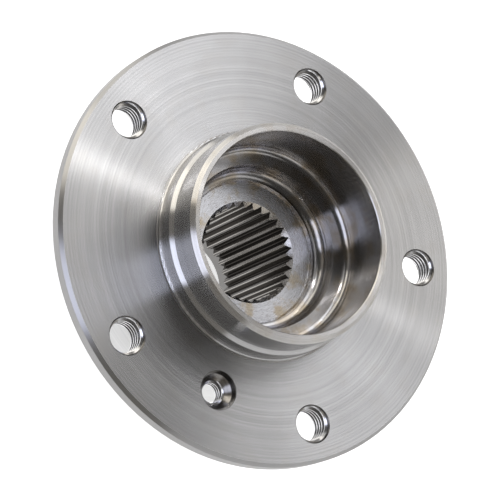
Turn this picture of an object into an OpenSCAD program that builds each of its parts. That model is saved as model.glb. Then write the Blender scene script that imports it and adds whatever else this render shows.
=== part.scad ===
// Driven wheel hub: a flanged forging with a splined bore, turning in a double-row ball bearing.
// Z is the axis of rotation and points outboard, towards the wheel.
// The origin is the centre of the face that the brake disc and the wheel are clamped to.

/* [Flange] */
// Distance from the wheel bolts' circle to the flange's edge
flange_margin = 12.5; // [11:0.5:20]
// Thickness of the flange where the wheel bolts go through
flange_t = 9.5; // [8:0.25:11]
// Thickness of the flange at its outer edge
flange_edge_t = 5; // [3:0.25:7]
// Bevel between the flange's edge and its front face
flange_chamfer = 1.15; // [0.3:0.05:2]
// Width of the bevel on the back of the flange
flange_back_bevel = 4.5; // [2:0.25:5]

/* [Spigot] */
// Diameter of the seat that centres the wheel
wheel_seat_d = 72.5; // [66:0.1:76]
// How far the seat that centres the brake disc stands out from the wheel's seat
seat_step = 1.2; // [0.5:0.05:2]
// Height of the brake disc's seat above the flange
disc_seat_h = 6.3; // [4:0.1:9]
// Height of the spigot above the flange
spigot_h = 19.5; // [15:0.5:28]
// Bevel at the spigot's outer edge
spigot_chamfer = 1.35; // [0.3:0.05:1.8]
// Fillet where the spigot meets the flange
spigot_fillet = 1.1; // [0.3:0.1:2.5]

/* [Nut recess] */
// Wall of the spigot between the wheel's seat and the recess
spigot_wall = 2.95; // [2:0.05:4]
// Depth of the ledge in the recess below the flange's face
ledge_depth = 0.9; // [0:0.1:2]
// Fillet between the recess wall and the ledge
recess_fillet = 2.5; // [0.5:0.1:2.8]
// Width of the ledge between the recess and the inner one that the axle nut's collar turns in
ledge_w = 5.8; // [4:0.1:7]
// Fillet at the foot of the inner recess
nut_recess_fillet = 3.2; // [1:0.1:3.4]
// Depth of the nut's seat below the flange's face
nut_seat_depth = 9.5; // [8.5:0.1:10.5]
// Height of the fillet's foot above the nut's seat
nut_seat_drop = 1.5; // [1.2:0.1:2]
// Break on the spigot's inner edge
recess_edge_break = 0.3; // [0.1:0.05:0.6]

/* [Wheel bolts] */
// Number of wheel-bolt holes
bolt_count = 5; // [4:1:6]
// Diameter of the circle that the wheel-bolt holes lie on
bolt_pcd = 120; // [112:0.5:122]
// Major diameter of the wheel bolts' thread
bolt_d = 12; // [10:0.5:14]
// Bevel at both mouths of a wheel-bolt hole
bolt_chamfer = 0.4; // [0.2:0.05:0.5]

/* [Disc screw] */
// Diameter of the circle that the brake disc's screw hole lies on
screw_pcd = 104; // [102:0.5:108]
// Major diameter of the disc screw's thread
screw_d = 8; // [6:0.5:9]
// Diameter of the shallow counterbore around the screw hole
screw_seat_d = 13; // [12:0.25:15]
// Depth of the counterbore
screw_seat_depth = 1.9; // [0.5:0.1:3]
// Width of the flat ring at the counterbore's foot
screw_seat_land = 0.75; // [0.3:0.05:1.2]

/* [Spline] */
// Number of spline teeth
spline_teeth = 30; // [24:1:36]
// Diameter over the spline's roots
spline_root_d = 34; // [32:0.2:35]
// Height of a spline tooth
tooth_h = 1.45; // [0.8:0.05:1.8]
// Width of a tooth's tip
tooth_tip_w = 0.55; // [0.3:0.05:0.9]
// Width of the gap between two teeth at its root
gap_root_w = 0.75; // [0.4:0.05:1.2]
// Length of the plain bore inboard of the spline
plain_bore_l = 6; // [2:0.5:12]
// How far the plain bore and the mouth's bevel stand clear of the spline's roots
root_relief = 0.15; // [0.05:0.05:0.5]

/* [Journal] */
// Diameter of the journal that carries the bearing
journal_d = 49; // [46:0.5:51]
// Distance from the flange's face to the shoulder that the bearing seats on
shoulder_depth = 13; // [12:0.5:20]
// Width of the shoulder that the bearing's inner ring seats on
shoulder_w = 5; // [3.5:0.5:6]
// How far the shoulder stands proud of the back of the hub
shoulder_h = 2; // [1:0.25:3]
// How far the raised back of the hub reaches out past the bearing
boss_margin = 2.5; // [0:0.5:5]
// Distance that the journal ends short of the inner ring
journal_short = 1; // [0.5:0.25:2.5]
// Fillet between the journal and its shoulder
journal_fillet = 0.8; // [0.3:0.1:1]
// Bevel at the journal's inboard end
journal_chamfer = 1.2; // [0.5:0.1:2]

/* [Bearing] */
// Height of the bearing's section, from the journal to the outside
bearing_section = 17.5; // [16.5:0.25:19.5]
// Width of the bearing
bearing_w = 48; // [44:0.5:50]
// Diameter of a ball
ball_d = 11.9; // [11:0.1:12.9]
// Number of balls in each row
balls_per_row = 14; // [10:1:15]
// Play between a ball and its raceways
ball_play = 0.1; // [0.05:0.01:0.2]
// Bevel on the rings' corners
ring_chamfer = 1.2; // [1.1:0.1:1.5]

/* [Cages] */
// Play between a ball and its pocket
pocket_play = 0.15; // [0.1:0.05:0.3]
// Gap between a cage and the rings
cage_gap = 0.8; // [0.4:0.1:1.1]
// Wall between a ball's pocket and the cage's closed rim
cage_web = 0.9; // [0.6:0.1:1.5]
// Gap between a cage's rim and the seal beside it
cage_end_gap = 0.6; // [0.4:0.1:2]
// Distance from the balls' centres to the cage's open prongs
cage_prong = 4; // [2:0.25:5]

/* [Seals] */
// Step between the outer ring's low land and a seal's seat
seal_step = 0.6; // [0.4:0.1:1]
// Depth of a seal's seat from the bearing's end face
seal_depth = 5.2; // [4.8:0.1:6]
// Distance that a seal sits back from the bearing's end face
seal_setback = 0.4; // [0.2:0.1:0.8]
// Thickness of the pressed steel in a seal's case and slinger
seal_sheet_t = 0.8; // [0.5:0.05:1]
// Distance between a slinger's rim and the seal case
slinger_gap = 0.5; // [0.3:0.1:1]
// Play between a seal lip and the slinger it runs on
lip_play = 0.1; // [0.05:0.01:0.2]
// Thickness of a seal lip's blade
lip_t = 0.9; // [0.5:0.1:1.2]

/* [Hidden] */

$fn = 180;

// How far a cut runs past the face it opens, and a bevel past its mouth
over = 1;
skim = 0.02;

// Wheel bolt 0 lies on +X; the disc screw lies halfway between two wheel bolts
bolt_pitch = 360 / bolt_count;
screw_angle = 1.5 * bolt_pitch;

// Radii and heights of the hub
flange_r = bolt_pcd / 2 + flange_margin;
wheel_seat_r = wheel_seat_d / 2;
disc_seat_r = wheel_seat_r + seat_step;
recess_r = wheel_seat_r - spigot_wall;
nut_recess_r = recess_r - ledge_w;
// The nut's seat ends in a sloping lip and a narrow groove at the foot of the fillet around it
relief_w = 0.4;
relief_depth = 0.9;
relief_lip = 0.2;
relief_run = 0.5;
nut_relief_r = nut_recess_r - nut_recess_fillet;
nut_relief_depth = nut_seat_depth - nut_seat_drop;
nut_seat_r = nut_relief_r - relief_w - relief_run;
journal_r = journal_d / 2;
bearing_r = journal_r + bearing_section;
journal_end_z = -shoulder_depth - bearing_w + journal_short;
back_z = -shoulder_depth + shoulder_h;
shoulder_r = journal_r + shoulder_w;
boss_r = bearing_r + boss_margin;
boss_step = -flange_t - back_z;
spline_root_r = spline_root_d / 2;
spline_tip_r = spline_root_r - tooth_h;
plain_bore_r = spline_root_r + root_relief;
spline_end_z = journal_end_z + plain_bore_l;

// Radii and places in the bearing, where z = 0 is its middle
bearing_mid_z = -shoulder_depth - bearing_w / 2;
half_w = bearing_w / 2;
pitch_r = (journal_r + bearing_r) / 2;
race_r = ball_d / 2 + ball_play;
high_land = 0.42 * race_r;
low_land = 0.77 * race_r;
rib_r = pitch_r + high_land;
outer_low_r = pitch_r + low_land;
inner_land_r = pitch_r - high_land;
inner_low_r = pitch_r - low_land;
seal_seat_r = outer_low_r + seal_step;
seal_in_z = half_w - seal_depth;
cage_rim = ball_d / 2 + pocket_play + cage_web;
row_offset = seal_in_z - cage_end_gap - cage_rim;
seal_out_z = half_w - seal_setback;
case_in_r = seal_seat_r - seal_sheet_t;
slinger_leg_r = inner_land_r + seal_sheet_t;
slinger_rim_r = case_in_r - slinger_gap;
lip_root_r = (slinger_leg_r + case_in_r) / 2;

// Half section of the hub, radius along X and height along Y. Each fillet starts as a square block in
// its corner, and a circle then hollows it out.
module hub_section() {
    difference() {
        polygon([
            [spline_tip_r, -nut_seat_depth],
            [nut_seat_r, -nut_seat_depth],
            [nut_relief_r - relief_w, -nut_relief_depth - relief_lip],
            [nut_relief_r - relief_w, -nut_relief_depth - relief_depth],
            [nut_relief_r, -nut_relief_depth - relief_depth],
            [nut_relief_r, -nut_relief_depth + nut_recess_fillet],
            [nut_recess_r, -nut_relief_depth + nut_recess_fillet],
            [nut_recess_r, -ledge_depth],
            [recess_r - recess_fillet, -ledge_depth],
            [recess_r - recess_fillet, -ledge_depth + recess_fillet],
            [recess_r, -ledge_depth + recess_fillet],
            [recess_r, spigot_h - recess_edge_break],
            [recess_r + recess_edge_break, spigot_h],
            [wheel_seat_r - spigot_chamfer, spigot_h],
            [wheel_seat_r, spigot_h - spigot_chamfer],
            [wheel_seat_r, disc_seat_h + seat_step],
            [disc_seat_r, disc_seat_h],
            [disc_seat_r, spigot_fillet],
            [disc_seat_r + spigot_fillet, spigot_fillet],
            [disc_seat_r + spigot_fillet, 0],
            [flange_r - flange_chamfer, 0],
            [flange_r, -flange_chamfer],
            [flange_r, -flange_edge_t],
            [flange_r - flange_back_bevel, -flange_t],
            [boss_r + boss_step, -flange_t],
            [boss_r, back_z],
            [shoulder_r + shoulder_h, back_z],
            [shoulder_r, -shoulder_depth],
            [journal_r + journal_fillet, -shoulder_depth],
            [journal_r + journal_fillet, -shoulder_depth - journal_fillet],
            [journal_r, -shoulder_depth - journal_fillet],
            [journal_r, journal_end_z + journal_chamfer],
            [journal_r - journal_chamfer, journal_end_z],
            [spline_tip_r, journal_end_z]
        ]);
        translate([disc_seat_r + spigot_fillet, spigot_fillet]) circle(spigot_fillet);
        translate([recess_r - recess_fillet, recess_fillet - ledge_depth]) circle(recess_fillet);
        translate([nut_relief_r, nut_recess_fillet - nut_relief_depth]) circle(nut_recess_fillet);
        translate([journal_r + journal_fillet, -shoulder_depth - journal_fillet])
            circle(journal_fillet);
    }
}

// One gap between two spline teeth, along +X, with a rounded root
module spline_gap() {
    half_pitch = 180 / spline_teeth;
    tip_half = spline_tip_r * sin(half_pitch) - tooth_tip_w / 2;
    root_half = gap_root_w / 2;
    flank_end = spline_root_r - root_half;
    polygon(concat(
        [[spline_tip_r - over, -tip_half], [spline_tip_r, -tip_half]],
        [for (a = [-90:30:90]) [flank_end + root_half * cos(a), root_half * sin(a)]],
        [[spline_tip_r, tip_half], [spline_tip_r - over, tip_half]]
    ));
}

// Everything that is cut from the bore beyond the tips' circle
module spline_cut() {
    translate([0, 0, spline_end_z - over])
        linear_extrude(-nut_seat_depth - spline_end_z + 2 * over)
            for (i = [0 : spline_teeth - 1])
                rotate(i * 360 / spline_teeth) spline_gap();
    // Bevel at 45 degrees over the teeth's whole height, at the mouth
    bevel_h = plain_bore_r - spline_tip_r + skim;
    translate([0, 0, -nut_seat_depth - bevel_h])
        cylinder(h = bevel_h + skim, r1 = plain_bore_r - bevel_h, r2 = plain_bore_r + skim);
    // Plain bore inboard of the teeth
    translate([0, 0, journal_end_z - over])
        cylinder(h = plain_bore_l + over, r = plain_bore_r);
}

// A tapped hole through the flange at its thread's major diameter, with both mouths bevelled
module bolt_hole() {
    bolt_r = bolt_d / 2;
    translate([0, 0, -flange_t - over]) cylinder(h = flange_t + 2 * over, r = bolt_r);
    translate([0, 0, -bolt_chamfer])
        cylinder(h = bolt_chamfer + skim, r1 = bolt_r, r2 = bolt_r + bolt_chamfer + skim);
    translate([0, 0, -flange_t - skim])
        cylinder(h = bolt_chamfer + skim, r1 = bolt_r + bolt_chamfer + skim, r2 = bolt_r);
}

// The disc screw's tapped hole, with a counterbore, a flat ring and a cone above its thread
module screw_hole() {
    screw_r = screw_d / 2;
    cone_r = screw_seat_d / 2 - screw_seat_land;
    cone_h = cone_r - screw_r;
    translate([0, 0, -flange_t - over]) cylinder(h = flange_t + 2 * over, r = screw_r);
    translate([0, 0, -screw_seat_depth]) cylinder(h = screw_seat_depth + over, r = screw_seat_d / 2);
    translate([0, 0, -screw_seat_depth - cone_h])
        cylinder(h = cone_h + skim, r1 = screw_r, r2 = cone_r + skim);
}

module hub_flange() {
    color("lightsteelblue") difference() {
        rotate_extrude() hub_section();
        spline_cut();
        for (i = [0 : bolt_count - 1])
            rotate(i * bolt_pitch) translate([bolt_pcd / 2, 0, 0]) bolt_hole();
        rotate(screw_angle) translate([screw_pcd / 2, 0, 0]) screw_hole();
    }
}

// Places a bearing piece: side is 1 for the outboard half and -1 for the inboard half
module in_bearing(side) {
    translate([0, 0, bearing_mid_z])
        mirror([0, 0, side < 0 ? 1 : 0])
            children();
}

module bearing_outer_ring() {
    color("silver") translate([0, 0, bearing_mid_z]) rotate_extrude() difference() {
        polygon([
            [rib_r, -row_offset],
            [rib_r, row_offset],
            [outer_low_r, row_offset],
            [outer_low_r, seal_in_z],
            [seal_seat_r, seal_in_z],
            [seal_seat_r, half_w],
            [bearing_r - ring_chamfer, half_w],
            [bearing_r, half_w - ring_chamfer],
            [bearing_r, ring_chamfer - half_w],
            [bearing_r - ring_chamfer, -half_w],
            [seal_seat_r, -half_w],
            [seal_seat_r, -seal_in_z],
            [outer_low_r, -seal_in_z],
            [outer_low_r, -row_offset]
        ]);
        translate([pitch_r, row_offset]) circle(race_r);
        translate([pitch_r, -row_offset]) circle(race_r);
    }
}

module inner_ring(side) {
    color("gainsboro") in_bearing(side) rotate_extrude() difference() {
        polygon([
            [journal_r, 0],
            [inner_low_r, 0],
            [inner_low_r, row_offset],
            [inner_land_r, row_offset],
            [inner_land_r, half_w],
            [journal_r + ring_chamfer, half_w],
            [journal_r, half_w - ring_chamfer]
        ]);
        translate([pitch_r, row_offset]) circle(race_r);
    }
}

// Places one child at each ball's centre in a row
module at_balls() {
    for (i = [0 : balls_per_row - 1])
        rotate(i * 360 / balls_per_row) translate([pitch_r, 0, row_offset]) children();
}

module balls(side) {
    color("white") in_bearing(side) at_balls() sphere(d = ball_d, $fn = 64);
}

module cage(side) {
    inner_r = inner_land_r + cage_gap;
    outer_r = rib_r - cage_gap;
    color("saddlebrown") in_bearing(side) difference() {
        translate([0, 0, row_offset - cage_prong]) difference() {
            cylinder(h = cage_prong + cage_rim, r = outer_r);
            translate([0, 0, -over]) cylinder(h = cage_prong + cage_rim + 2 * over, r = inner_r);
        }
        at_balls() sphere(r = ball_d / 2 + pocket_play, $fn = 64);
    }
}

// Pressed steel case of a seal: a leg in the outer ring and a flange towards the inner ring
module seal_case(side) {
    color("dimgray") in_bearing(side) rotate_extrude() polygon([
        [lip_root_r, seal_in_z],
        [seal_seat_r, seal_in_z],
        [seal_seat_r, seal_out_z],
        [case_in_r, seal_out_z],
        [case_in_r, seal_in_z + seal_sheet_t],
        [lip_root_r, seal_in_z + seal_sheet_t]
    ]);
}

// Rubber bonded to the case's inner edge, with one lip on the slinger's leg and one at its flange
module seal_lip(side) {
    leg_z = seal_in_z + seal_sheet_t;
    flange_z = seal_out_z - seal_sheet_t - lip_play;
    color("black") in_bearing(side) rotate_extrude() polygon([
        [slinger_leg_r + lip_play, seal_in_z],
        [lip_root_r, seal_in_z],
        [lip_root_r, leg_z],
        [lip_root_r + lip_t, leg_z],
        [lip_root_r + 2 * lip_t, flange_z],
        [lip_root_r + lip_t, flange_z],
        [lip_root_r, leg_z + lip_t],
        [slinger_leg_r + lip_play + lip_t, leg_z + lip_t],
        [slinger_leg_r + lip_play, leg_z]
    ]);
}

// Pressed steel slinger: a leg on the inner ring and a flange that covers the seal
module slinger(side) {
    color("lightslategray") in_bearing(side) rotate_extrude() polygon([
        [inner_land_r, seal_in_z],
        [slinger_leg_r, seal_in_z],
        [slinger_leg_r, seal_out_z - seal_sheet_t],
        [slinger_rim_r, seal_out_z - seal_sheet_t],
        [slinger_rim_r, seal_out_z],
        [inner_land_r, seal_out_z]
    ]);
}

hub_flange();
bearing_outer_ring();
inner_ring(1);  // inner_ring_outboard
inner_ring(-1);  // inner_ring_inboard
balls(1);  // balls_outboard
balls(-1);  // balls_inboard
cage(1);  // cage_outboard
cage(-1);  // cage_inboard
seal_case(1);  // seal_case_outboard
seal_case(-1);  // seal_case_inboard
seal_lip(1);  // seal_lip_outboard
seal_lip(-1);  // seal_lip_inboard
slinger(1);  // slinger_outboard
slinger(-1);  // slinger_inboard
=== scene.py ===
"""Driven wheel hub: finishes, threads, camera, floor and studio light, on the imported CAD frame."""
import math

import bmesh
import bpy
import numpy as np
from mathutils import Matrix, Vector


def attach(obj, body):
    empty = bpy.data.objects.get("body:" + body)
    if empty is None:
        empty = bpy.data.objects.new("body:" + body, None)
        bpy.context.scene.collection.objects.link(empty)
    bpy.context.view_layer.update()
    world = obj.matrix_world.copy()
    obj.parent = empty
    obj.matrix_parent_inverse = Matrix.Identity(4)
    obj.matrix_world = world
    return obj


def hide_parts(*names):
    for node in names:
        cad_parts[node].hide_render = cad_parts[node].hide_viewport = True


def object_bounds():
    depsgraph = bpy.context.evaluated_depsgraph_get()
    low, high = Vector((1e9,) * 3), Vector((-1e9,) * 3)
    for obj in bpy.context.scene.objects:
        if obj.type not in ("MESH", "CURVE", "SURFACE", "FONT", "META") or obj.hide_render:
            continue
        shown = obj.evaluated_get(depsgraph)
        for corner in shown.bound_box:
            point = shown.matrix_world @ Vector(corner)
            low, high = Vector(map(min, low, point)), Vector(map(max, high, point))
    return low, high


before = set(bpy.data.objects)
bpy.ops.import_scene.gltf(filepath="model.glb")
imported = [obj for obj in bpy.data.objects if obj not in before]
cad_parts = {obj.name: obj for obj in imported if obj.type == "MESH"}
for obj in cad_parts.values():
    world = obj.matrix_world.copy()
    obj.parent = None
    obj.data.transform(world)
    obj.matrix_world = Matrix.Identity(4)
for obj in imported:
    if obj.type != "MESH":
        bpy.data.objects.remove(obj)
cad_low, cad_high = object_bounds()

MM = 0.001

# Sizes of the hub, as in the part's source
FLANGE_R = 72.5 * MM
FLANGE_T = 9.5 * MM
FLANGE_EDGE_T = 5 * MM
FLANGE_CHAMFER = 1.15 * MM
DISC_SEAT_R = 37.45 * MM
SPIGOT_H = 19.5 * MM
SPIGOT_CHAMFER = 1.35 * MM
SPIGOT_FILLET = 1.1 * MM
RECESS_R = 33.3 * MM
RECESS_FILLET = 2.5 * MM
RECESS_EDGE_BREAK = 0.3 * MM
LEDGE_DEPTH = 0.9 * MM
NUT_RELIEF_R = 24.3 * MM
NUT_RELIEF_DEPTH = 8 * MM
NUT_RECESS_FILLET = 3.2 * MM
NUT_SEAT_DEPTH = 9.5 * MM
PLAIN_BORE_R = 17.15 * MM
SPLINE_TIP_R = 15.55 * MM
MOUTH_BEVEL = 1.7 * MM
SPLINE_END_Z = -54 * MM
JOURNAL_R = 24.5 * MM
JOURNAL_FILLET = 0.8 * MM
SHOULDER_DEPTH = 13 * MM

# Tapped holes: wheel bolt 0 lies on +X, and the disc screw halfway between two bolts
BOLT_COUNT = 5
BOLT_CIRCLE_R = 60 * MM
BOLT_R = 6 * MM
BOLT_CHAMFER = 0.4 * MM
BOLT_PITCH = 1.5 * MM
SCREW_CIRCLE_R = 52 * MM
SCREW_R = 4 * MM
SCREW_SEAT_R = 6.5 * MM
SCREW_CONE_FOOT = 3.65 * MM
SCREW_PITCH = 1.25 * MM
BOLT_STEP = math.tau / BOLT_COUNT
SCREW_ANGLE = 1.5 * BOLT_STEP


def around(radius, angle):
    """Point on a circle round the hub's axis."""
    return Vector((radius * math.cos(angle), radius * math.sin(angle), 0))


BOLT_PLACES = [around(BOLT_CIRCLE_R, i * BOLT_STEP) for i in range(BOLT_COUNT)]
SCREW_PLACE = around(SCREW_CIRCLE_R, SCREW_ANGLE)
SCREW_HOLE = BOLT_COUNT


def colour(red, green, blue):
    return (red, green, blue, 1.0)


def shaded(base, share):
    """Colour with each of its parts lowered to a share."""
    return colour(*[part * kept for part, kept in zip(base, share)])


def shares(value, share):
    """A value's lower and upper share."""
    return [value * part for part in share]


# Noise seldom leaves this range
NOISE_LOW = 0.3
NOISE_HIGH = 0.7


class Graph:
    """Short ways to add and link the nodes of a material or a world."""

    def __init__(self, tree):
        self.tree = tree
        tree.nodes.clear()

    def add(self, kind, inputs=None, **settings):
        node = self.tree.nodes.new(kind)
        for name, value in settings.items():
            setattr(node, name, value)
        for name, value in (inputs or {}).items():
            self.put(node.inputs[name], value)
        return node

    def put(self, socket, value):
        if isinstance(value, bpy.types.NodeSocket):
            self.tree.links.new(value, socket)
        else:
            socket.default_value = value

    def math(self, operation, first, second=0.0, third=0.0):
        values = {0: first, 1: second, 2: third}
        return self.add("ShaderNodeMath", values, operation=operation).outputs[0]

    def times(self, first, *others):
        """Product of two or more values."""
        for value in others:
            first = self.math("MULTIPLY", first, value)
        return first

    def vector(self, x, y, z):
        return self.add("ShaderNodeCombineXYZ", {0: x, 1: y, 2: z}).outputs[0]

    def fade(self, value, low, high, at_low=0.0, at_high=1.0):
        """Smooth change from one value to another as the input goes from low to high."""
        inputs = {"Value": value, "From Min": low, "From Max": high, "To Min": at_low, "To Max": at_high}
        node = self.add("ShaderNodeMapRange", inputs, interpolation_type="SMOOTHSTEP")
        return node.outputs["Result"]

    def vary(self, noise, at_low, at_high):
        """Noise spread over a range of values."""
        return self.fade(noise, NOISE_LOW, NOISE_HIGH, at_low, at_high)

    def noise(self, vector, scale, detail=2.0, rough=0.5):
        inputs = {"Vector": vector, "Scale": scale, "Detail": detail, "Roughness": rough}
        return self.add("ShaderNodeTexNoise", inputs).outputs["Fac"]

    def rings(self, coordinate, width, detail=1.0):
        """Noise along one coordinate only: rings about the axis, of about this width."""
        along = self.math("DIVIDE", coordinate, width)
        inputs = {"W": along, "Scale": 1.0, "Detail": detail}
        return self.add("ShaderNodeTexNoise", inputs, noise_dimensions="1D").outputs["Fac"]

    def mix(self, factor, first, second, blend="MIX"):
        node = self.add("ShaderNodeMix", data_type="RGBA", blend_type=blend)
        for socket, value in zip((node.inputs[0], node.inputs[6], node.inputs[7]), (factor, first, second)):
            self.put(socket, value)
        return node.outputs[2]

    def toned(self, base, tone):
        """Colour made lighter or darker by a tone."""
        return self.mix(1.0, colour(*base), self.vector(tone, tone, tone), "MULTIPLY")

    def patched(self, under, noise, edge, amount, over):
        """Colour laid over another where a noise is high."""
        return self.mix(self.times(self.fade(noise, *edge), amount), under, over)


def new_material(name):
    material = bpy.data.materials.new(name)
    material.use_nodes = True
    graph = Graph(material.node_tree)
    surface = graph.add("ShaderNodeBsdfPrincipled")
    output = graph.add("ShaderNodeOutputMaterial")
    graph.put(output.inputs["Surface"], surface.outputs[0])
    return material, graph, surface


def dress(graph, surface, tinted, roughness, relief, depth, strength=1.0, metallic=1.0):
    """Gives a surface its colour, roughness and relief."""
    bump = graph.add("ShaderNodeBump", {"Height": relief, "Strength": strength, "Distance": depth})
    graph.put(surface.inputs["Base Color"], tinted)
    graph.put(surface.inputs["Roughness"], roughness)
    graph.put(surface.inputs["Normal"], bump.outputs["Normal"])
    surface.inputs["Metallic"].default_value = metallic


def hub_coordinates(graph):
    """Object position, distance from the hub's axis, angle about it and height."""
    place = graph.add("ShaderNodeTexCoord").outputs["Object"]
    parts = graph.add("ShaderNodeSeparateXYZ", {0: place}).outputs
    square = graph.math("ADD", graph.math("POWER", parts[0], 2.0), graph.math("POWER", parts[1], 2.0))
    radius = graph.math("SQRT", square)
    angle = graph.math("ARCTAN2", parts[1], parts[0])
    return place, radius, angle, parts[2]


# Turned steel: the rings' widths and relief, and the scales of its noises across and round the axis
BROAD_RING = 2.2 * MM
FINE_RING = 0.7 * MM
BROAD_RELIEF = 0.7
FINE_RELIEF = 0.5
TURNED_DEPTH = 0.004 * MM
ARCS_ACROSS = 1500.0
ARCS_AROUND = 4.0
CLOUD_SCALE = 45.0
STAIN_SCALE = 110.0
SCRATCH_SCALE = 2.5

# How much each noise changes the steel's tone or roughness, and where stains and scratches begin
RING_TONE = (0.93, 1.05)
ARC_TONE = (0.985, 1.015)
CLOUD_TONE = (0.95, 1.04)
TURNED_GLOSS = (0.98, 1.02)
STAIN_EDGE = (0.48, 0.64)
SCRATCH_EDGE = (0.50, 0.68)

# Turns of the shader's grain that lay it along the tool's path
ALONG_RINGS = 0.25

# Pitch of the tool's feed on the face, and how much its regular rings change the tone
FEED_PITCH = 1.0 * MM
FEED_TONE = 0.025

# Shares of the steel's own colour that its marks keep
TAN_STAIN = (0.78, 0.66, 0.47)
BROWN_SCRATCH = (0.45, 0.40, 0.34)
DARK_OIL = (0.3, 0.26, 0.22)


def turned_steel(
        name, base, roughness, brushed, along="radius", groove=1.0, stain=0.0, scratch=0.0, feed=0.0):
    """Lathe-turned steel: rings about the axis, fine arcs, faint clouds, tan stains and brown scratches."""
    material, graph, surface = new_material(name)
    place, radius, angle, height = hub_coordinates(graph)
    coordinate = radius if along == "radius" else height

    broad = graph.rings(coordinate, BROAD_RING)
    fine = graph.rings(coordinate, FINE_RING, detail=2.0)
    arc_place = graph.vector(graph.times(coordinate, ARCS_ACROSS), graph.times(angle, ARCS_AROUND), 0.0)
    arcs = graph.noise(arc_place, 1.0, detail=3.0)
    clouds = graph.noise(place, CLOUD_SCALE, detail=3.0)

    mean = graph.math("ADD", graph.times(broad, 0.5), graph.times(fine, 0.5))
    ring_tone = graph.vary(mean, *RING_TONE)
    arc_tone = graph.vary(arcs, *ARC_TONE)
    cloud_tone = graph.vary(clouds, *CLOUD_TONE)
    tone = graph.times(ring_tone, arc_tone, cloud_tone)
    if feed:
        wave = graph.math("SINE", graph.times(coordinate, math.tau / feed))
        tone = graph.times(tone, graph.math("MULTIPLY_ADD", wave, FEED_TONE, 1.0))
    tinted = graph.toned(base, tone)
    if stain:
        patches = graph.noise(place, STAIN_SCALE, detail=5.0, rough=0.6)
        tinted = graph.patched(tinted, patches, STAIN_EDGE, stain, shaded(base, TAN_STAIN))
    if scratch:
        marks = graph.noise(arc_place, SCRATCH_SCALE, detail=4.0, rough=0.7)
        tinted = graph.patched(tinted, marks, SCRATCH_EDGE, scratch, shaded(base, BROWN_SCRATCH))

    rough = graph.vary(arcs, *shares(roughness, TURNED_GLOSS))
    relief = graph.math("ADD", graph.times(broad, BROAD_RELIEF), graph.times(fine, FINE_RELIEF))
    dress(graph, surface, tinted, rough, relief, TURNED_DEPTH * groove)
    tangent = graph.add("ShaderNodeTangent", direction_type="RADIAL", axis="Z")
    graph.put(surface.inputs["Tangent"], tangent.outputs[0])
    surface.inputs["Anisotropic"].default_value = brushed
    surface.inputs["Anisotropic Rotation"].default_value = ALONG_RINGS
    return material


# Cut steel: its noises' scales, what they change, where oil begins, and the relief's depth
STREAK_SCALE = 1600.0
CUT_CLOUD_SCALE = 240.0
STREAK_TONE = (0.88, 1.08)
CUT_CLOUD_TONE = (0.92, 1.05)
CUT_GLOSS = (0.9, 1.15)
OIL_EDGE = (0.5, 0.72)
CUT_DEPTH = 0.01 * MM
NO_STREAK = (1.0, 1.0, 1.0)
THREAD_STREAK = (0.3, 0.3, 1.5)


def cut_steel(name, base, roughness, streak=NO_STREAK, dark=0.0, grain=0.3):
    """Tapped, stamped or polished steel: streaks along the cut, with dark oil in patches."""
    material, graph, surface = new_material(name)
    place = graph.add("ShaderNodeTexCoord").outputs["Object"]
    stretched = graph.add("ShaderNodeMapping", {"Vector": place, "Scale": streak}).outputs[0]
    streaks = graph.noise(stretched, STREAK_SCALE, detail=3.0)
    clouds = graph.noise(place, CUT_CLOUD_SCALE, detail=4.0, rough=0.6)
    tone = graph.times(graph.vary(streaks, *STREAK_TONE), graph.vary(clouds, *CUT_CLOUD_TONE))
    tinted = graph.toned(base, tone)
    if dark:
        tinted = graph.patched(tinted, clouds, OIL_EDGE, dark, shaded(base, DARK_OIL))
    rough = graph.vary(streaks, *shares(roughness, CUT_GLOSS))
    dress(graph, surface, tinted, rough, streaks, CUT_DEPTH * grain)
    return material


# Broached teeth: a painted highlight line at the tip's corner, painted shade with dark oil from there to the
# root, and the plain bore
CORNER_HIGHLIGHT_FROM = 0.02 * MM
CORNER_HIGHLIGHT_TO = 0.08 * MM
ROOT_SHADE_FROM = 0.12 * MM
ROOT_SHADE_TO = 0.4 * MM
BORE_BLEND = 0.5 * MM
CORNER_HIGHLIGHT = (0.82, 0.79, 0.75)
ROOT_SHADE_AND_OIL = (0.050, 0.043, 0.037)
BORE_STEEL = (0.40, 0.39, 0.38)

# Its noises: scales round the axis, away from it and along it, what they change, and the relief's depth
BROACH_AROUND = 60.0
BROACH_ACROSS = 3000.0
BROACH_ALONG = 40.0
BORE_CLOUD_SCALE = 170.0
BROACH_TONE = (0.75, 1.1)
BORE_CLOUD_TONE = (0.8, 1.05)
BROACH_GLOSS = (0.8, 1.3)
BROACH_DEPTH = 0.004 * MM


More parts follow.
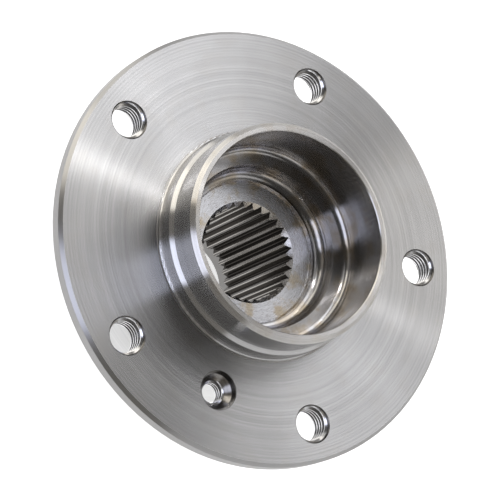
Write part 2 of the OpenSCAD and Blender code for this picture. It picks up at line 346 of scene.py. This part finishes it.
def broached_steel(name, base, roughness):
    """Broached teeth: streaked lands with a painted highlight at their corners, and painted shade with dark
    oil towards the roots.
    """
    material, graph, surface = new_material(name)
    place, radius, angle, height = hub_coordinates(graph)
    turned = graph.times(angle, BROACH_AROUND)
    stretched = graph.vector(turned, graph.times(radius, BROACH_ACROSS), graph.times(height, BROACH_ALONG))
    streaks = graph.noise(stretched, 1.0, detail=4.0, rough=0.6)
    clouds = graph.noise(place, BORE_CLOUD_SCALE, detail=4.0, rough=0.6)
    tone = graph.times(graph.vary(streaks, *BROACH_TONE), graph.vary(clouds, *BORE_CLOUD_TONE))
    # Painted highlight: a thin bright line just past the tooth's tip
    corner = graph.fade(radius, SPLINE_TIP_R + CORNER_HIGHLIGHT_FROM, SPLINE_TIP_R + CORNER_HIGHLIGHT_TO)
    # Painted shade with dark oil, darker from the flank towards the root
    root_shade = graph.fade(radius, SPLINE_TIP_R + ROOT_SHADE_FROM, SPLINE_TIP_R + ROOT_SHADE_TO)
    plain = graph.fade(height, SPLINE_END_Z - BORE_BLEND, SPLINE_END_Z, 1.0, 0.0)
    tinted = graph.mix(corner, graph.toned(base, tone), colour(*CORNER_HIGHLIGHT))
    tinted = graph.mix(root_shade, tinted, colour(*ROOT_SHADE_AND_OIL))
    tinted = graph.mix(plain, tinted, colour(*BORE_STEEL))
    rough = graph.vary(streaks, *shares(roughness, BROACH_GLOSS))
    dress(graph, surface, tinted, rough, streaks, BROACH_DEPTH)
    return material


# Moulded pieces: their noises' scales, what they change, and the relief's depth
GRAIN_SCALE = 2600.0
MOULD_CLOUD_SCALE = 130.0
GRAIN_TONE = (0.95, 1.05)
MOULD_TONE = (0.9, 1.1)
MOULD_GLOSS = (0.9, 1.1)
MOULD_DEPTH = 0.02 * MM


def moulded(name, base, roughness):
    """Moulded rubber or plastic, with a fine grain and faint clouds."""
    material, graph, surface = new_material(name)
    place = graph.add("ShaderNodeTexCoord").outputs["Object"]
    grain = graph.noise(place, GRAIN_SCALE, detail=3.0)
    clouds = graph.noise(place, MOULD_CLOUD_SCALE, detail=3.0)
    tone = graph.times(graph.vary(clouds, *MOULD_TONE), graph.vary(grain, *GRAIN_TONE))
    rough = graph.vary(clouds, *shares(roughness, MOULD_GLOSS))
    dress(graph, surface, graph.toned(base, tone), rough, grain, MOULD_DEPTH, strength=0.5, metallic=0.0)
    return material


FACE_STEEL = (0.605, 0.60, 0.60)
EDGE_SHADED_STEEL = (0.43, 0.425, 0.425)
SEAT_STEEL = (0.56, 0.555, 0.555)
RIM_STEEL = (0.60, 0.585, 0.57)
RECESS_SHADED_STEEL = (0.49, 0.48, 0.48)
NUT_SEAT_STEEL = (0.68, 0.68, 0.70)
TOOTH_STEEL = (0.28, 0.265, 0.255)
MOUTH_STEEL = (0.66, 0.65, 0.64)
SINK_STEEL = (0.30, 0.29, 0.28)
TAPPED_SHADED_STEEL = (0.13, 0.125, 0.12)
BACK_STEEL = (0.50, 0.485, 0.465)
THREAD_LIT_STEEL = (0.84, 0.84, 0.86)

# The hub's finishes, in the order of the numbers that finish_of gives
FINISHES = {
    "face": turned_steel(
        "steel_face", FACE_STEEL, roughness=0.26, brushed=1.0, groove=0.6, stain=0.06, feed=FEED_PITCH),
    # Flange edge: a darker copy of the face's steel, painted shade
    "edge": turned_steel(
        "steel_edge_shaded", EDGE_SHADED_STEEL, roughness=0.30, brushed=0.8, along="height", groove=0.8, stain=0.05),
    "seats": turned_steel(
        "steel_seats", SEAT_STEEL, roughness=0.20, brushed=1.0, along="height", groove=0.3),
    "rim": turned_steel("steel_rim", RIM_STEEL, roughness=0.26, brushed=1.0, groove=0.6, stain=0.2),
    # Recess: darker than the seats, painted shade on its walls; its tan patches are stains
    "recess": turned_steel(
        "steel_recess_shaded", RECESS_SHADED_STEEL, roughness=0.15, brushed=1.0, along="height", groove=0.3, stain=0.7),
    "nut_seat": turned_steel(
        "steel_nut_seat", NUT_SEAT_STEEL, roughness=0.27, brushed=0.6, groove=1.2, stain=0.9, scratch=0.75),
    "spline": broached_steel("steel_spline", TOOTH_STEEL, roughness=0.20),
    "mouth": cut_steel("steel_mouth", MOUTH_STEEL, roughness=0.26, dark=0.2),
    "countersunk": cut_steel(
        "steel_countersunk", SINK_STEEL, roughness=0.22, streak=THREAD_STREAK, dark=0.5),
    # Tapped walls: near-black steel, painted shade in the holes and between the thread's turns
    "tapped": cut_steel("steel_tapped_shaded", TAPPED_SHADED_STEEL, roughness=0.28, streak=THREAD_STREAK, dark=0.5),
    "back": turned_steel("steel_back", BACK_STEEL, roughness=0.42, brushed=0.7, groove=2.0, stain=0.3),
}
FINISH_NAMES = list(FINISHES)
# Thread ridges: a brighter, lit copy of the tapped steel, a painted highlight
THREAD_FINISH = cut_steel("steel_thread_lit", THREAD_LIT_STEEL, roughness=0.18, streak=THREAD_STREAK, dark=0.1)

# How near a face's centre is to a surface that it belongs to, and how far up its normal points
NEAR = 0.05 * MM
FILLET_NEAR = 0.1 * MM
NUT_SEAT_EDGE = 0.3 * MM
FLAT = 0.999
SLOPE = 0.5
WALL = 0.9
FILLET_FACING = 0.97
SMALLEST_R = 1e-9


def from_axis(points):
    """Radius of points, and their unit direction away from the axis."""
    radius = np.hypot(points[:, 0], points[:, 1])
    safe = np.maximum(radius, SMALLEST_R)
    return radius, points[:, :2] / safe[:, None]


def hole_of(points):
    """Index of the tapped hole that each point belongs to, or -1."""
    found = np.full(len(points), -1)
    holes = [(place, BOLT_R + BOLT_CHAMFER) for place in BOLT_PLACES] + [(SCREW_PLACE, SCREW_SEAT_R)]
    for index, (place, reach) in enumerate(holes):
        away = np.hypot(points[:, 0] - place.x, points[:, 1] - place.y)
        found[away < reach + NEAR] = index
    return found


def finish_of(centre, normal, hole):
    """Finish number of each face of the hub, from its centre's radius and height and its normal."""
    radius = np.hypot(centre[:, 0], centre[:, 1])
    height = centre[:, 2]
    rise = normal[:, 2]
    flange_top = (rise > FLAT) & (np.abs(height) < NEAR)
    flange_back = (rise < -FLAT) & (np.abs(height + FLANGE_T) < NEAR)
    in_hole = (hole >= 0) & ~flange_top & ~flange_back & (height > -FLANGE_T - NEAR)
    in_sink = in_hole & (hole == SCREW_HOLE) & (height > -SCREW_CONE_FOOT - NEAR)
    in_bore = radius < PLAIN_BORE_R + NEAR
    at_mouth = in_bore & (np.abs(height + NUT_SEAT_DEPTH) < MOUTH_BEVEL) & (rise > SLOPE)
    below_seat = in_bore & (height < -NUT_SEAT_DEPTH - NEAR) & (np.abs(rise) < WALL)
    above_seat = height > -NUT_SEAT_DEPTH - NEAR
    tests = [
        ("countersunk", in_sink),
        ("tapped", in_hole),
        ("mouth", at_mouth),
        ("spline", below_seat),
        ("rim", (height > SPIGOT_H - SPIGOT_CHAMFER - NEAR) & (rise > SLOPE)),
        ("nut_seat", (radius < NUT_RELIEF_R - NUT_SEAT_EDGE) & above_seat),
        ("recess", (radius < RECESS_R + RECESS_EDGE_BREAK) & above_seat),
        ("seats", (radius < DISC_SEAT_R + SPIGOT_FILLET - FILLET_NEAR) & (height > NEAR)),
        ("face", flange_top),
        ("edge", (radius > FLANGE_R - FLANGE_CHAMFER) & (height > -FLANGE_EDGE_T - NEAR)),
    ]
    numbers = np.full(len(centre), FINISH_NAMES.index("back"))
    for name, chosen in reversed(tests):
        numbers[chosen] = FINISH_NAMES.index(name)
    return numbers


# Fillets of the hub's section: centre's radius and height, and the fillet's radius
FILLETS = [
    (DISC_SEAT_R + SPIGOT_FILLET, SPIGOT_FILLET, SPIGOT_FILLET),
    (RECESS_R - RECESS_FILLET, RECESS_FILLET - LEDGE_DEPTH, RECESS_FILLET),
    (NUT_RELIEF_R, NUT_RECESS_FILLET - NUT_RELIEF_DEPTH, NUT_RECESS_FILLET),
    (JOURNAL_R + JOURNAL_FILLET, -SHOULDER_DEPTH - JOURNAL_FILLET, JOURNAL_FILLET),
]


def true_normals(corner, centre, normal, hole, finish):
    """Exact normals at the corners of turned and drilled faces, from their own axes and fillets."""
    axis = np.zeros((len(hole), 2))
    tapped = np.isin(finish, [FINISH_NAMES.index("tapped"), FINISH_NAMES.index("countersunk")])
    for index, place in enumerate(BOLT_PLACES + [SCREW_PLACE]):
        axis[tapped & (hole == index)] = place.x, place.y
    corner_r, corner_out = from_axis(corner[:, :2] - axis)
    centre_r, centre_out = from_axis(centre[:, :2] - axis)
    across = np.sum(normal[:, :2] * centre_out, axis=1)
    rise = normal[:, 2].copy()
    for fillet_r, fillet_z, size in FILLETS:
        away_r = corner_r - fillet_r
        away_z = corner[:, 2] - fillet_z
        middle = np.hypot(centre_r - fillet_r, centre[:, 2] - fillet_z)
        facing = (across * (fillet_r - centre_r) + rise * (fillet_z - centre[:, 2])) / size
        curved = ~tapped & (np.abs(middle - size) < FILLET_NEAR) & (facing > FILLET_FACING)
        across[curved] = (-away_r / size)[curved]
        rise[curved] = (-away_z / size)[curved]
    exact = np.column_stack([corner_out * across[:, None], rise])
    exact /= np.linalg.norm(exact, axis=1)[:, None]
    flat = finish == FINISH_NAMES.index("spline")
    exact[flat] = normal[flat]
    return exact


def read_points(collection, name):
    """Points or directions of one property of all items, one row each."""
    values = np.empty(len(collection) * 3)
    collection.foreach_get(name, values)
    return values.reshape(-1, 3)


def read_numbers(collection, name):
    """Whole numbers of one property of all items."""
    values = np.empty(len(collection), dtype=int)
    collection.foreach_get(name, values)
    return values


def smooth(mesh):
    mesh.polygons.foreach_set("use_smooth", np.ones(len(mesh.polygons), dtype=bool))


def add_piece(mesh, body):
    piece = bpy.data.objects.new(mesh.name, mesh)
    bpy.context.scene.collection.objects.link(piece)
    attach(piece, body)
    return piece


def turned_hub(node):
    """Copy of the hub's CAD mesh with its own finish on each surface, and exact normals."""
    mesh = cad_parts[node].data.copy()
    mesh.name = "hub_flange_turned"
    centre = read_points(mesh.polygons, "center")
    normal = read_points(mesh.polygons, "normal")
    place = read_points(mesh.vertices, "co")
    sides = read_numbers(mesh.polygons, "loop_total")
    vertex = read_numbers(mesh.loops, "vertex_index")

    hole = hole_of(centre)
    finish = finish_of(centre, normal, hole)
    mesh.materials.clear()
    for material in FINISHES.values():
        mesh.materials.append(material)
    mesh.polygons.foreach_set("material_index", finish)
    face = np.repeat(np.arange(len(sides)), sides)
    exact = true_normals(place[vertex], centre[face], normal[face], hole[face], finish[face])
    smooth(mesh)
    mesh.normals_split_custom_set(exact.tolist())
    mesh.update()
    return add_piece(mesh, "hub")


# Thread ridges: shares of the pitch for depth and half widths, steps per turn, and how they end
THREAD_DEPTH = 0.5413
THREAD_BASE = 0.44
THREAD_CREST = 0.125
THREAD_START = 0.5 * MM
THREAD_SUNK = 0.04 * MM
THREAD_STEPS = 48
THREAD_FADE_STEPS = 16
THREAD_LEAST = 0.02
THREAD_END_WIDTH = 0.1
THREAD_SHARP = math.radians(35)


def thread(name, place, wall_r, pitch, top, foot):
    """Right-handed internal thread: a ridge that winds down a tapped hole and fades out at both ends."""
    depth = THREAD_DEPTH * pitch
    base_half = THREAD_BASE * pitch
    crest_half = THREAD_CREST * pitch
    steps = round((top - foot - 2 * base_half) / pitch * THREAD_STEPS)
    shape = bmesh.new()
    sections = []
    for step in range(steps + 1):
        angle = math.tau * step / THREAD_STEPS
        height = foot + base_half + pitch * step / THREAD_STEPS
        full = min(1.0, step / THREAD_FADE_STEPS, (steps - step) / THREAD_FADE_STEPS)
        crest_r = wall_r - max(full, THREAD_LEAST) * depth
        base_r = wall_r + THREAD_SUNK
        crest = crest_half + (1 - full) * (base_half - crest_half) * THREAD_END_WIDTH
        ring = []
        for radius, rise in [(base_r, -base_half), (crest_r, -crest), (crest_r, crest), (base_r, base_half)]:
            point = place + around(radius, angle) + Vector((0, 0, height + rise))
            ring.append(shape.verts.new(point))
        sections.append(ring)
    for first, second in zip(sections, sections[1:]):
        for i in range(len(first)):
            j = (i + 1) % len(first)
            shape.faces.new((first[i], first[j], second[j], second[i]))
    shape.faces.new(sections[0])
    shape.faces.new(reversed(sections[-1]))
    bmesh.ops.recalc_face_normals(shape, faces=shape.faces)
    mesh = bpy.data.meshes.new(name)
    shape.to_mesh(mesh)
    shape.free()
    smooth(mesh)
    mesh.set_sharp_from_angle(angle=THREAD_SHARP)
    mesh.materials.append(THREAD_FINISH)
    return add_piece(mesh, "hub")


hub = turned_hub("hub_flange")
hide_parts("hub_flange")
for index, place in enumerate(BOLT_PLACES):
    thread(f"bolt_thread_{index}", place, BOLT_R, BOLT_PITCH, -THREAD_START, BOLT_CHAMFER - FLANGE_T)
thread("screw_thread", SCREW_PLACE, SCREW_R, SCREW_PITCH, -SCREW_CONE_FOOT, -FLANGE_T)

OUTER_RING_STEEL = (0.62, 0.62, 0.62)
INNER_RING_STEEL = (0.66, 0.66, 0.66)
BALL_STEEL = (0.72, 0.72, 0.73)
CASE_STEEL = (0.42, 0.41, 0.40)
SLINGER_STEEL = (0.44, 0.43, 0.42)
CAGE_PLASTIC = (0.05, 0.05, 0.05)
SEAL_RUBBER = (0.022, 0.021, 0.021)

# Finishes of the bearing's CAD pieces, by how the names of their nodes start
BEARING_FINISHES = {
    "bearing_outer_ring": turned_steel(
        "steel_outer_ring", OUTER_RING_STEEL, roughness=0.42, brushed=0.6, along="height", groove=0.3),
    "inner_ring": turned_steel(
        "steel_inner_ring", INNER_RING_STEEL, roughness=0.20, brushed=0.6, along="height", groove=0.3),
    "balls": cut_steel("steel_ball", BALL_STEEL, roughness=0.07, grain=0.05),
    "cage": moulded("cage_plastic", CAGE_PLASTIC, roughness=0.45),
    "seal_case": cut_steel("steel_seal_case", CASE_STEEL, roughness=0.42, dark=0.2),
    "seal_lip": moulded("seal_rubber", SEAL_RUBBER, roughness=0.5),
    "slinger": turned_steel("steel_slinger", SLINGER_STEEL, roughness=0.34, brushed=0.6, groove=0.6),
}
for node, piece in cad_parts.items():
    for start, material in BEARING_FINISHES.items():
        if node.startswith(start):
            for slot in piece.material_slots:
                slot.material = material

# Floor under the bearing's end, plain and pale
FLOOR_SIZE = 6.0
FLOOR_GAP = 0.2 * MM
FLOOR_PAINT = (0.8, 0.8, 0.8)
WHITE = (1.0, 1.0, 1.0)
CAMERA_SEES = 0.72

# Floor that the steel mirrors: a painted shadow under the bearing, a painted bright ring round it, and a
# painted glow under the bore
SHADE_IN_R = 25 * MM
SHADE_OUT_R = 50 * MM
PAINTED_RING_END_R = 72 * MM
PAINTED_RING_FADE = 14 * MM
PAINTED_RING_SEES = 1.0
STEEL_SEES = 0.30
BORE_GLOW_SEES = 0.55
BORE_GLOW_R = 16 * MM
BORE_GLOW_END_R = 22 * MM


def add_floor():
    half = FLOOR_SIZE / 2
    level = cad_low.z - FLOOR_GAP
    mesh = bpy.data.meshes.new("floor")
    corners = [(-half, -half, level), (half, -half, level), (half, half, level), (-half, half, level)]
    mesh.from_pydata(corners, [], [(0, 1, 2, 3)])
    floor = bpy.data.objects.new("floor", mesh)
    bpy.context.scene.collection.objects.link(floor)
    material = bpy.data.materials.new("floor")
    material.use_nodes = True
    graph = Graph(material.node_tree)
    rays = graph.add("ShaderNodeLightPath").outputs
    seen = graph.math("MAXIMUM", rays["Is Glossy Ray"], rays["Is Transmission Ray"])
    matt = graph.add("ShaderNodeBsdfDiffuse", {"Color": colour(*FLOOR_PAINT)})
    glow = graph.add("ShaderNodeEmission", {"Color": colour(*WHITE)})
    _, radius, _, _ = hub_coordinates(graph)
    # Painted bright ring round the bearing, out to 72 mm, then the floor's even level
    painted_ring = graph.fade(radius, PAINTED_RING_END_R, PAINTED_RING_END_R + PAINTED_RING_FADE, PAINTED_RING_SEES, STEEL_SEES)
    # Painted shadow under the bearing, seen only in the steel's reflections
    shadow_and_ring = graph.times(painted_ring, graph.fade(radius, SHADE_IN_R, SHADE_OUT_R))
    # Painted glow under the bore
    bore_glow = graph.fade(radius, BORE_GLOW_R, BORE_GLOW_END_R, BORE_GLOW_SEES, 0.0)
    steel_sees = graph.times(seen, graph.math("ADD", shadow_and_ring, bore_glow))
    camera_sees = graph.times(rays["Is Camera Ray"], CAMERA_SEES)
    graph.put(glow.inputs["Strength"], graph.math("MAXIMUM", camera_sees, steel_sees))
    both = graph.add("ShaderNodeAddShader", {0: matt.outputs[0], 1: glow.outputs[0]})
    graph.add("ShaderNodeOutputMaterial", {"Surface": both.outputs[0]})
    mesh.materials.append(material)


add_floor()

# Studio that the steel mirrors: azimuth, elevation, half width, half height and soft border in degrees,
# then the tint and the strength
STUDIO = [
    ("mirror fill", 224, 46, 20, 8, 10, (0.97, 0.975, 1.0), 0.5),
    ("main softbox", 277, 52, 22, 9, 8, (0.97, 0.975, 1.0), 2.0),
    ("upper fill", 258, 71, 16, 4, 7, (0.98, 0.98, 1.0), 1.0),
    ("side softbox", 325, 60, 12, 5, 8, (1.0, 0.98, 0.95), 1.0),
    ("far fill", 256, 40, 5, 4, 5, (1.0, 1.0, 1.0), 1.7),
    ("low softbox", 238, 16, 8, 24, 6, (1.0, 0.97, 0.92), 2.0),
    ("left fill", 200, 56, 12, 6, 8, (1.0, 0.99, 0.98), 0.9),
    ("warm strip", 322, 12, 10, 30, 6, (1.0, 0.96, 0.88), 1.5),
    ("cream strip", 350, 17, 14, 14, 5, (1.0, 0.95, 0.85), 2.2),
    ("cool strip", 48, 14, 15, 36, 7, (0.80, 0.84, 1.0), 2.1),
    ("far strip", 152, 14, 30, 14, 8, (1.0, 1.0, 1.0), 0.85),
]

# Between the boxes: pale floor up to the horizon, then the room, which darkens upwards; heights in radians
ROOM_LOW = (0.30, 0.28, 0.25)
ROOM_HIGH = (0.06, 0.058, 0.055)
ROOM_RISE = (0.2, 0.9)
HORIZON = (-0.05, 0.12)
MATT_SEES = (0.75, 0.75, 0.75)


def add_world():
    world = bpy.data.worlds.new("studio")
    bpy.context.scene.world = world
    world.use_nodes = True
    graph = Graph(world.node_tree)
    direction = graph.add("ShaderNodeTexCoord").outputs["Generated"]
    parts = graph.add("ShaderNodeSeparateXYZ", {0: direction}).outputs
    azimuth = graph.math("ARCTAN2", parts[1], parts[0])
    elevation = graph.math("ARCSINE", parts[2])
    room = graph.mix(graph.fade(elevation, *ROOM_RISE), colour(*ROOM_LOW), colour(*ROOM_HIGH))
    glossy = graph.mix(graph.fade(elevation, *HORIZON), colour(*FLOOR_PAINT), room)
    for _, turn, rise, half_turn, half_rise, soft, tint, strength in STUDIO:
        offset = graph.math("SUBTRACT", azimuth, math.radians(turn))
        beside = graph.math("ARCCOSINE", graph.math("COSINE", offset))
        above = graph.math("ABSOLUTE", graph.math("SUBTRACT", elevation, math.radians(rise)))
        wide = graph.fade(beside, math.radians(half_turn), math.radians(half_turn + soft), 1.0, 0.0)
        high = graph.fade(above, math.radians(half_rise), math.radians(half_rise + soft), 1.0, 0.0)
        glossy = graph.mix(graph.times(wide, high), glossy, colour(*[strength * part for part in tint]))
    rays = graph.add("ShaderNodeLightPath").outputs
    seen = graph.math("MAXIMUM", rays["Is Camera Ray"], rays["Is Transmission Ray"])
    lit = graph.mix(rays["Is Glossy Ray"], colour(*MATT_SEES), glossy)
    shown = graph.mix(seen, lit, colour(*WHITE))
    background = graph.add("ShaderNodeBackground", {"Color": shown, "Strength": 1.0})
    graph.add("ShaderNodeOutputWorld", {"Surface": background.outputs[0]})


add_world()

# Distance of each lamp from the hub, in metres
LAMP_DISTANCE = 1.6


def add_lamp(name, azimuth, elevation, size, watts, mirrored):
    """Square lamp that looks at the hub from a direction in degrees, for mirroring or for matt pieces."""
    turn = math.radians(azimuth)
    rise = math.radians(elevation)
    direction = Vector((math.cos(rise) * math.cos(turn), math.cos(rise) * math.sin(turn), math.sin(rise)))
    data = bpy.data.lights.new(name, "AREA")
    data.shape = "SQUARE"
    data.size = size
    data.energy = watts
    lamp = bpy.data.objects.new(name, data)
    facing = direction.to_track_quat("Z", "Y").to_matrix().to_4x4()
    lamp.matrix_world = Matrix.Translation(direction * LAMP_DISTANCE) @ facing
    lamp.visible_glossy = mirrored
    lamp.visible_diffuse = not mirrored
    bpy.context.scene.collection.objects.link(lamp)


# The soft boxes already give the steel the key lamp's light, and two small lamps draw the wedges on its face
add_lamp("key", azimuth=250, elevation=62, size=1.0, watts=9.0, mirrored=False)
add_lamp("upper_wedge", azimuth=305, elevation=65.6, size=0.06, watts=1.2, mirrored=True)
add_lamp("lower_wedge", azimuth=294, elevation=51, size=0.08, watts=0.12, mirrored=True)

# Camera: found by fitting the photograph's holes and outline
VIEW_TARGET = Vector((2.4387 * MM, 4.3333 * MM, 0))
VIEW_AZIMUTH = math.radians(64.196)
VIEW_ELEVATION = math.radians(57.449)
VIEW_ROLL = math.radians(65.539)
VIEW_DISTANCE = 865.22 * MM
VIEW_LENS = 192.81
VIEW_SENSOR = 36.0


def add_camera():
    out = Vector((
        math.cos(VIEW_ELEVATION) * math.cos(VIEW_AZIMUTH),
        math.cos(VIEW_ELEVATION) * math.sin(VIEW_AZIMUTH),
        math.sin(VIEW_ELEVATION),
    ))
    side = (-out).cross(Vector((0, 0, 1))).normalized()
    upright = side.cross(-out)
    right = math.cos(VIEW_ROLL) * side + math.sin(VIEW_ROLL) * upright
    up = out.cross(right)
    data = bpy.data.cameras.new("camera")
    data.lens = VIEW_LENS
    data.sensor_width = VIEW_SENSOR
    camera = bpy.data.objects.new("camera", data)
    turn = Matrix((right, up, out)).transposed().to_4x4()
    camera.matrix_world = Matrix.Translation(VIEW_TARGET + out * VIEW_DISTANCE) @ turn
    bpy.context.scene.collection.objects.link(camera)
    bpy.context.scene.camera = camera


add_camera()
bpy.context.scene.view_settings.view_transform = "Standard"
